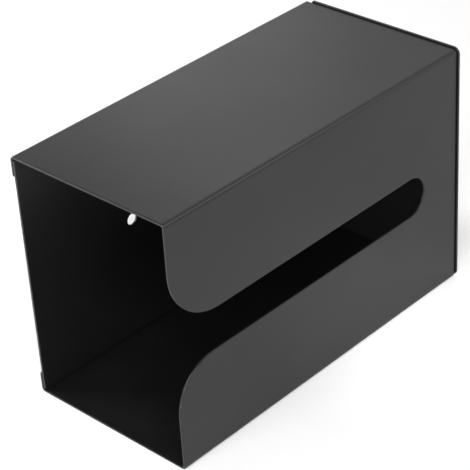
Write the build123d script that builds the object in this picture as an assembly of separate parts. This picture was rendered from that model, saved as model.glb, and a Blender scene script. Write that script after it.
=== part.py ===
from build123d import *

import math
import os

# Napkin dispenser in folded sheet steel: a slotted cover that hooks over an L-shaped wall plate.
# The long side runs along X with the open, loading end at -X and the closed end at +X.
# The slotted front faces -Y, the wall is at +Y, and the cover's floor is at Z = 0.
# The origin is the bottom centre of the whole dispenser. Millimetres.

# Overall size
OVERALL_LENGTH = 250.0
OVERALL_DEPTH = 120.0
OVERALL_HEIGHT = 162.0

# Sheet and bends
SHEET = 1.5
BEND_INNER_RADIUS = 1.2
ROLLED_EDGE_ROUNDING = 0.6
PLAIN_EDGE_ROUNDING = 0.3
SLIDING_GAP = 0.3

# Cover
END_OVERHANG = 1.0
LIP_HEIGHT = 14.0
LIP_CORNER_RADIUS = 2.0

# Dispensing slot in the cover's front, open at the loading end
SLOT_HEIGHT = 26.2
SLOT_MIDDLE_HEIGHT = 79.3
SLOT_LENGTH = 216.5
UPPER_TAB_RADIUS = 36.0
LOWER_TAB_RADIUS = 30.0

# Wall plate
SCREW_HOLE_DIAMETER = 7.5
SCREW_HOLE_SPACING = 86.0
SCREW_HOLE_HEIGHT = 81.0
END_PLATE_FRONT_RADIUS = 4.3
END_PLATE_REAR_RADIUS = 1.2
NOTCH_RADIUS = 0.6
NOTCH_SETBACK = 1.0
END_PLATE_FLOOR_CLEARANCE = 0.5

# Sizes that follow from the ones above
BEND_OUTER_RADIUS = BEND_INNER_RADIUS + SHEET
OUTER_SKIN_DEPTH = 0.8 * SHEET
COVER_LENGTH = OVERALL_LENGTH - SHEET - SLIDING_GAP
COVER_HEIGHT = OVERALL_HEIGHT - END_OVERHANG
OPEN_END_X = -OVERALL_LENGTH / 2
CLOSED_END_X = OVERALL_LENGTH / 2
FRONT_Y = END_OVERHANG - OVERALL_DEPTH / 2
REAR_Y = OVERALL_DEPTH / 2
PLATE_REAR_Y = REAR_Y - SHEET - SLIDING_GAP
END_PLATE_REAR_Y = PLATE_REAR_Y - BEND_OUTER_RADIUS - NOTCH_SETBACK
PLATE_BOTTOM_Z = SHEET + BEND_INNER_RADIUS
PLATE_TOP_Z = COVER_HEIGHT - SHEET - BEND_INNER_RADIUS


def folded_strip(corners):
    """Section of a folded sheet, from the corners of its middle line."""
    middle_line = FilletPolyline(*corners, radius=BEND_INNER_RADIUS + SHEET / 2)
    return trace(middle_line, line_width=SHEET)


def is_sharp(edge, solid):
    """True where the two faces that meet at the edge turn a corner, so bend lines are left out."""
    middle = edge.position_at(0.5)
    normals = [face.normal_at(middle) for face in solid.faces() if edge in face.edges()]
    return len(normals) == 2 and normals[0].get_angle(normals[1]) > 45


def sharp_edges(solid):
    """The cut edges of the sheet, which deburring and the coat of powder paint round."""
    return [edge for edge in solid.edges() if is_sharp(edge, solid)]


def cover_section():
    """C-shaped section of the cover in the YZ plane: lip, floor, front, roof and lip."""
    front = FRONT_Y + SHEET / 2
    rear = REAR_Y - SHEET / 2
    floor = SHEET / 2
    roof = COVER_HEIGHT - SHEET / 2
    corners = [
        (rear, LIP_HEIGHT),
        (rear, floor),
        (front, floor),
        (front, roof),
        (rear, roof),
        (rear, COVER_HEIGHT - LIP_HEIGHT),
    ]
    section_plane = Plane(origin=(OPEN_END_X, 0, 0), x_dir=(0, 1, 0), z_dir=(1, 0, 0))
    return section_plane * folded_strip(corners)


def slot_cutter():
    """Solid that cuts the slot and the two rounded tab corners beside its open end."""
    slot_bottom = SLOT_MIDDLE_HEIGHT - SLOT_HEIGHT / 2
    slot_top = SLOT_MIDDLE_HEIGHT + SLOT_HEIGHT / 2
    slot_end_x = OPEN_END_X + SLOT_LENGTH
    slot_round_x = slot_end_x - SLOT_HEIGHT / 2
    lower_tab_z = slot_bottom - LOWER_TAB_RADIUS
    upper_tab_z = slot_top + UPPER_TAB_RADIUS
    outside_x = OPEN_END_X - SHEET
    diagonal = math.sqrt(0.5)

    lower_tab_middle = (
        OPEN_END_X + LOWER_TAB_RADIUS * (1 - diagonal),
        lower_tab_z + LOWER_TAB_RADIUS * diagonal,
    )
    upper_tab_middle = (
        OPEN_END_X + UPPER_TAB_RADIUS * (1 - diagonal),
        upper_tab_z - UPPER_TAB_RADIUS * diagonal,
    )
    lower_tab_start = (OPEN_END_X, lower_tab_z)
    lower_tab_end = (OPEN_END_X + LOWER_TAB_RADIUS, slot_bottom)
    upper_tab_start = (OPEN_END_X + UPPER_TAB_RADIUS, slot_top)
    upper_tab_end = (OPEN_END_X, upper_tab_z)

    round_start = (slot_round_x, slot_bottom)
    round_middle = (slot_end_x, SLOT_MIDDLE_HEIGHT)
    round_end = (slot_round_x, slot_top)

    outline = [
        ThreePointArc(lower_tab_start, lower_tab_middle, lower_tab_end),
        Line(lower_tab_end, round_start),
        ThreePointArc(round_start, round_middle, round_end),
        Line(round_end, upper_tab_start),
        ThreePointArc(upper_tab_start, upper_tab_middle, upper_tab_end),
        Polyline(upper_tab_end, (outside_x, upper_tab_z), (outside_x, lower_tab_z), lower_tab_start),
    ]
    slot_face = make_face(Curve() + outline)
    front_plane = Plane(origin=(0, FRONT_Y, 0), x_dir=(1, 0, 0), z_dir=(0, -1, 0))
    return extrude(front_plane * slot_face, amount=2 * SHEET, both=True)


def round_lip_corners(cover):
    """Round the free corners of the two rear lips."""
    lip_edge_heights = (LIP_HEIGHT, COVER_HEIGHT - LIP_HEIGHT)
    corner_edges = [
        edge
        for edge in cover.edges().filter_by(Axis.Y)
        if edge.center().Y > REAR_Y - SHEET
        and any(math.isclose(edge.center().Z, height, abs_tol=0.01) for height in lip_edge_heights)
    ]
    return fillet(corner_edges, LIP_CORNER_RADIUS)


def is_on_cover_outside(edge):
    """True for the edges on the outside of the cover, which cutting rolled over into a rounder edge."""
    middle = edge.position_at(0.5)
    depth_below_skin = min(middle.Y - FRONT_Y, REAR_Y - middle.Y, middle.Z, COVER_HEIGHT - middle.Z)
    return depth_below_skin < OUTER_SKIN_DEPTH


def make_cover():
    """Folded cover: one sheet bent four times, with the slot and tabs cut before folding."""
    cover = extrude(cover_section(), amount=COVER_LENGTH)
    cover = cover - slot_cutter()
    cover = round_lip_corners(cover)
    rolled_edges = [edge for edge in sharp_edges(cover) if is_on_cover_outside(edge)]
    cover = fillet(rolled_edges, ROLLED_EDGE_ROUNDING)
    return fillet(sharp_edges(cover), PLAIN_EDGE_ROUNDING)


def folded_back():
    """Back of the wall plate and its bend, only as tall as fits between the cover's bends.

    The bent leg runs on to the middle of the end plate, which it is one sheet with.
    """
    back = PLATE_REAR_Y - SHEET / 2
    end = CLOSED_END_X - SHEET / 2
    middle_of_end = 0
    corners = [(OPEN_END_X, back), (end, back), (end, middle_of_end)]
    section = Plane.XY.offset(PLATE_BOTTOM_Z) * folded_strip(corners)
    return extrude(section, amount=PLATE_TOP_Z - PLATE_BOTTOM_Z)


def end_plate():
    """Closed end: a flat leg that stands a little proud of the cover's roof and front."""
    front_edge_y = FRONT_Y - END_OVERHANG
    depth = END_PLATE_REAR_Y - front_edge_y
    height = OVERALL_HEIGHT - END_PLATE_FLOOR_CLEARANCE
    outline = Rectangle(depth, height)
    outline = fillet(outline.vertices().sort_by(Axis.X)[:2], END_PLATE_FRONT_RADIUS)
    outline = fillet(outline.vertices().sort_by(Axis.X)[-2:], END_PLATE_REAR_RADIUS)
    middle = (CLOSED_END_X - SHEET, (END_PLATE_REAR_Y + front_edge_y) / 2, OVERALL_HEIGHT - height / 2)
    return extrude(Plane(origin=middle, x_dir=(0, 1, 0), z_dir=(1, 0, 0)) * outline, amount=SHEET)


def ease_notches(plate):
    """Round the two inside corners where the taller end plate steps down to the back."""
    notch_edges = [
        edge
        for edge in plate.edges().filter_by(Axis.X)
        if math.isclose(edge.center().Y, END_PLATE_REAR_Y, abs_tol=0.01)
        and math.isclose(edge.length, SHEET, abs_tol=0.01)
    ]
    return fillet(notch_edges, NOTCH_RADIUS)


def screw_holes():
    """Two round holes at mid-height, in line with the slot so that a screwdriver reaches them."""
    hole_plane = Plane(origin=(0, PLATE_REAR_Y, SCREW_HOLE_HEIGHT), x_dir=(1, 0, 0), z_dir=(0, 1, 0))
    places = GridLocations(SCREW_HOLE_SPACING, 1, 2, 1)
    circles = Sketch() + [place * Circle(SCREW_HOLE_DIAMETER / 2) for place in places]
    return extrude(hole_plane * circles, amount=2 * SHEET, both=True)


def make_wall_plate():
    """L-shaped plate: the back that is screwed to the wall and the closed end, in one sheet."""
    plate = folded_back() + end_plate()
    plate = ease_notches(plate)
    plate = plate - screw_holes()
    return fillet(sharp_edges(plate), PLAIN_EDGE_ROUNDING)


os.makedirs("parts", exist_ok=True)
export_step(make_cover(), "parts/slotted_cover.step")
export_step(make_wall_plate(), "parts/wall_plate.step")
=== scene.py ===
import math

import bpy
from mathutils import Matrix, Vector


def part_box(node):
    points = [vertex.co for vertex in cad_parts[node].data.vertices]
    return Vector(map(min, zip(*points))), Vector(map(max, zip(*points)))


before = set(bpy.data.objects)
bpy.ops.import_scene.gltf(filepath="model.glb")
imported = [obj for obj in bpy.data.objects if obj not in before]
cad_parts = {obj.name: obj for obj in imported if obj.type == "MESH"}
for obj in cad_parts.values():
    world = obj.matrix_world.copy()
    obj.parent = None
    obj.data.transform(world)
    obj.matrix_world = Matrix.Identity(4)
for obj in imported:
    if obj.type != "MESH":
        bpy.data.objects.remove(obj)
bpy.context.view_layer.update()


# Wall plate. One 1.5 mm steel sheet folded into an L: the back, with two screw holes, and the closed end.
# It is screwed to the wall first. It is sprayed with black polyester powder after folding and baked, which
# leaves a satin skin 80 microns thick, with a faint orange peel, fine grain and the odd speck of dust.
class Wire:
    """An output socket of a shader node. Arithmetic on wires and numbers adds the Math nodes for it."""

    def __init__(self, board, socket):
        self.board = board
        self.socket = socket

    def math(self, operation, first, second):
        return self.board.node("ShaderNodeMath", {"operation": operation}, {0: first, 1: second})

    def __add__(self, other):
        return self.math("ADD", self, other)

    def __radd__(self, other):
        return self.math("ADD", other, self)

    def __sub__(self, other):
        return self.math("SUBTRACT", self, other)

    def __rsub__(self, other):
        return self.math("SUBTRACT", other, self)

    def __mul__(self, other):
        return self.math("MULTIPLY", self, other)

    def __rmul__(self, other):
        return self.math("MULTIPLY", other, self)


class Board:
    """The node tree of one material."""

    def __init__(self, name):
        self.material = bpy.data.materials.new(name)
        self.material.use_nodes = True
        self.tree = self.material.node_tree
        self.shader = self.tree.nodes["Principled BSDF"]

    def node(self, kind, settings, sockets, output=0):
        """Add a node: its settings first, then the value or wire of each socket."""
        made = self.tree.nodes.new(kind)
        for name, value in settings.items():
            setattr(made, name, value)
        for name, value in sockets.items():
            self.feed(made.inputs[name], value)
        return Wire(self, made.outputs[output])

    def feed(self, socket, value):
        if isinstance(value, Wire):
            self.tree.links.new(value.socket, socket)
        else:
            socket.default_value = value

    def finish(self, sockets):
        """Feed the surface shader and hand the material over."""
        for name, value in sockets.items():
            self.feed(self.shader.inputs[name], value)
        return self.material


# Texture scales, as how many patches or cells fit in a metre.
FILM_SCALE = 28.0
ORANGE_PEEL_SCALE = 620.0
GRAIN_SCALE = 2400.0
DUST_SCALE = 110.0

# Heights above the skin, in metres.
ORANGE_PEEL_HEIGHT = 0.0000045
GRAIN_HEIGHT = 0.0000016
DUST_HEIGHT = 0.000012

THICK_BLACK = (0.0062, 0.0063, 0.0065, 1.0)
THIN_BLACK = (0.0080, 0.0079, 0.0078, 1.0)
EDGE_BLACK = (0.0150, 0.0147, 0.0144, 1.0)
EDGE_PALENESS = 0.5
COAT_REFRACTION = 1.4


def make_powder_coat():
    """Black satin powder coat, whose thickness, grain and dust change from place to place."""
    board = Board("black_powder_coat")
    place = board.node("ShaderNodeTexCoord", {}, {}, output="Object")

    def noise(per_metre, detail):
        sockets = {"Vector": place, "Scale": per_metre, "Detail": detail}
        return board.node("ShaderNodeTexNoise", {}, sockets)

    def ramp(value, low, high):
        """0 below low, 1 above high, and smooth between."""
        sockets = {"Value": value, "From Min": low, "From Max": high}
        return board.node("ShaderNodeMapRange", {"interpolation_type": "SMOOTHSTEP"}, sockets)

    # How thick the powder lay before baking varies over a few centimetres.
    film = noise(FILM_SCALE, 3.0)
    orange_peel = noise(ORANGE_PEEL_SCALE, 1.0)
    grain = noise(GRAIN_SCALE, 2.0)

    # Dust that landed before baking: a low dome about every 9 mm, half a millimetre wide.
    dust_cell = board.node(
        "ShaderNodeTexVoronoi",
        {},
        {"Vector": place, "Scale": DUST_SCALE},
        output="Distance",
    )
    dust = 1.0 - ramp(dust_cell, 0.012, 0.035)

    # The melted powder draws back from cut edges and bends: there the skin is thinner, smoother and paler.
    # A flat face points along one axis, where the fourth powers of its direction add up to 1.
    facing = board.node("ShaderNodeTexCoord", {}, {}, output="Normal")
    squared = board.node("ShaderNodeVectorMath", {"operation": "MULTIPLY"}, {0: facing, 1: facing})
    flatness = board.node(
        "ShaderNodeVectorMath",
        {"operation": "DOT_PRODUCT"},
        {0: squared, 1: squared},
        output="Value",
    )
    edge = ramp(1.0 - flatness, 0.05, 0.4)

    flat_colour = board.node(
        "ShaderNodeMix",
        {"data_type": "RGBA"},
        {0: ramp(film, 0.3, 0.7), 6: THIN_BLACK, 7: THICK_BLACK},
        output=2,
    )
    colour = board.node(
        "ShaderNodeMix",
        {"data_type": "RGBA"},
        {0: EDGE_PALENESS * edge, 6: flat_colour, 7: EDGE_BLACK},
        output=2,
    )
    roughness = 0.29 + 0.05 * film + 0.04 * grain - 0.04 * edge
    height = ORANGE_PEEL_HEIGHT * orange_peel + GRAIN_HEIGHT * grain + DUST_HEIGHT * dust
    normal = board.node("ShaderNodeBump", {}, {"Strength": 1.0, "Distance": 1.0, "Height": height})
    sockets = {"Base Color": colour, "Roughness": roughness, "IOR": COAT_REFRACTION, "Normal": normal}
    return board.finish(sockets)


powder_coat = make_powder_coat()


def spray(sheet):
    """Give a folded sheet its coat, over its whole surface."""
    for material_slot in sheet.material_slots:
        material_slot.material = powder_coat


spray(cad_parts["wall_plate"])


# Slotted cover. One 1.5 mm steel sheet folded four times into a C, with the dispensing slot and the two
# round tab corners cut before folding. It has the same coat as the plate, from the same batch. Its lips
# hook behind the plate and it slides on from the open end until it meets the closed end.
spray(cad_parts["slotted_cover"])


# Table. A pale matt table top, far wider than the dispenser, that the cover's floor stands on.
# Its colour holds a painted pool of light: an emission patch in front of the closed end that stands in for
# lamp light falling there. It also glows beyond the reach of the soft boxes, so the far floor stays evenly
# pale.
TABLE_HALF_WIDTH = 4.0
TABLE_WHITE = 0.95
TABLE_ROUGHNESS = 0.9
POOL_PLACE = Vector((0.07, -0.09, 0.0))
POOL_RADIUS = 0.12
PAINTED_POOL_LIGHT = 0.3
FAR_GLOW_START = 0.85
FAR_GLOW_FULL = 1.5
FAR_GLOW = 0.85


def make_table():
    half = TABLE_HALF_WIDTH
    corners = [(-half, -half, 0), (half, -half, 0), (half, half, 0), (-half, half, 0)]
    mesh = bpy.data.meshes.new("table_top")
    mesh.from_pydata(corners, [], [(0, 1, 2, 3)])
    board = Board("pale_table_top")
    place = board.node("ShaderNodeTexCoord", {}, {}, output="Object")

    def distance_ramp(middle, start, end):
        """0 within the start distance of the middle, 1 beyond the end distance, and smooth between."""
        distance = board.node(
            "ShaderNodeVectorMath",
            {"operation": "DISTANCE"},
            {0: place, 1: middle},
            output="Value",
        )
        sockets = {"Value": distance, "From Min": start, "From Max": end}
        return board.node("ShaderNodeMapRange", {"interpolation_type": "SMOOTHSTEP"}, sockets)

    # Painted pool of light: the table top glows brighter in a round patch in front of the closed end.
    painted_pool = 1.0 - distance_ramp(POOL_PLACE, 0.0, POOL_RADIUS)
    far = distance_ramp(Vector((0.0, 0.0, 0.0)), FAR_GLOW_START, FAR_GLOW_FULL)
    glow = PAINTED_POOL_LIGHT * painted_pool + FAR_GLOW * far
    finish = {
        "Base Color": (TABLE_WHITE, TABLE_WHITE, TABLE_WHITE, 1.0),
        "Roughness": TABLE_ROUGHNESS,
        "Emission Color": board.node("ShaderNodeCombineColor", {}, {0: glow, 1: glow, 2: glow}),
        "Emission Strength": 1.0,
    }
    mesh.materials.append(board.finish(finish))
    table = bpy.data.objects.new("table_top", mesh)
    bpy.context.scene.collection.objects.link(table)


make_table()


# Light. Eleven soft boxes stand round the dispenser in a dim white room. The roof mirrors the tall ones
# beyond the closed end, the bend at its front mirrors the ones at the right and in front, and the low ones
# at the open end pick out the cut edges.
ROOM_LIGHT = 0.08
LIGHT_AIM = Vector((0.0, 0.0, 0.08))


def soft_box(name, azimuth, elevation, distance, width, height, watts):
    """A rectangular lamp that faces the dispenser. Azimuth is from +X towards +Y, in degrees."""
    turn = math.radians(azimuth)
    rise = math.radians(elevation)
    out = Vector((math.cos(turn) * math.cos(rise), math.sin(turn) * math.cos(rise), math.sin(rise)))
    lamp = bpy.data.lights.new(name, "AREA")
    lamp.shape = "RECTANGLE"
    lamp.size = width
    lamp.size_y = height
    lamp.energy = watts
    box = bpy.data.objects.new(name, lamp)
    bpy.context.scene.collection.objects.link(box)
    box.location = LIGHT_AIM + out * distance
    box.rotation_mode = "QUATERNION"
    box.rotation_quaternion = out.to_track_quat("Z", "Y")


soft_box("tall_strip_beyond", 45.0, 28.0, 1.5, 0.28, 1.0, 1.15)
soft_box("tall_box_beyond", 31.0, 28.0, 1.5, 0.45, 1.0, 0.7)
soft_box("high_box_beyond", 25.0, 58.0, 1.3, 0.6, 0.5, 0.5)
soft_box("low_box_beyond", 60.0, 16.0, 1.15, 0.45, 0.45, 1.3)
soft_box("low_box_behind", 120.0, 16.0, 1.15, 0.45, 0.45, 14.0)
soft_box("low_box_left", 180.0, 16.0, 1.15, 0.45, 0.45, 5.4)
soft_box("low_box_near", 210.0, 16.0, 1.15, 0.45, 0.45, 2.8)
soft_box("box_near", 234.0, 42.0, 1.15, 0.6, 0.6, 10.0)
soft_box("low_box_front", 300.0, 30.0, 1.15, 0.6, 0.6, 2.1)
soft_box("tall_box_front", 320.0, 24.0, 1.15, 0.6, 1.15, 2.2)
soft_box("high_box_right", 8.0, 50.0, 1.15, 0.9, 0.7, 2.2)

world = bpy.data.worlds.new("white_room")
world.use_nodes = True
world.node_tree.nodes["Background"].inputs["Color"].default_value = (1.0, 1.0, 1.0, 1.0)
world.node_tree.nodes["Background"].inputs["Strength"].default_value = ROOM_LIGHT
bpy.context.scene.world = world
bpy.context.scene.view_settings.view_transform = "Standard"


# Camera. A long lens above the open end, a metre from the dispenser, held with a slight tilt.
# Its place is given from the near bottom corner of the slotted front, in lengths of the cover.
LENS = 137.58
SENSOR_WIDTH = 36.0
AZIMUTH = math.radians(-45.328)
ELEVATION = math.radians(32.049)
ROLL = math.radians(-3.748)
STAND = Vector((-2.1295, -2.3096, 2.5794))


def make_camera():
    near_corner, far_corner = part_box("slotted_cover")
    cover_length = far_corner.x - near_corner.x
    data = bpy.data.cameras.new("camera")
    data.lens = LENS
    data.sensor_width = SENSOR_WIDTH
    camera = bpy.data.objects.new("camera", data)
    bpy.context.scene.collection.objects.link(camera)
    level = math.cos(ELEVATION)
    view = Vector((-math.sin(AZIMUTH) * level, math.cos(AZIMUTH) * level, -math.sin(ELEVATION)))
    camera.location = near_corner + STAND * cover_length
    camera.rotation_mode = "QUATERNION"
    tilt = Matrix.Rotation(ROLL, 3, "Z").to_quaternion()
    camera.rotation_quaternion = view.to_track_quat("-Z", "Y") @ tilt
    bpy.context.scene.camera = camera


make_camera()
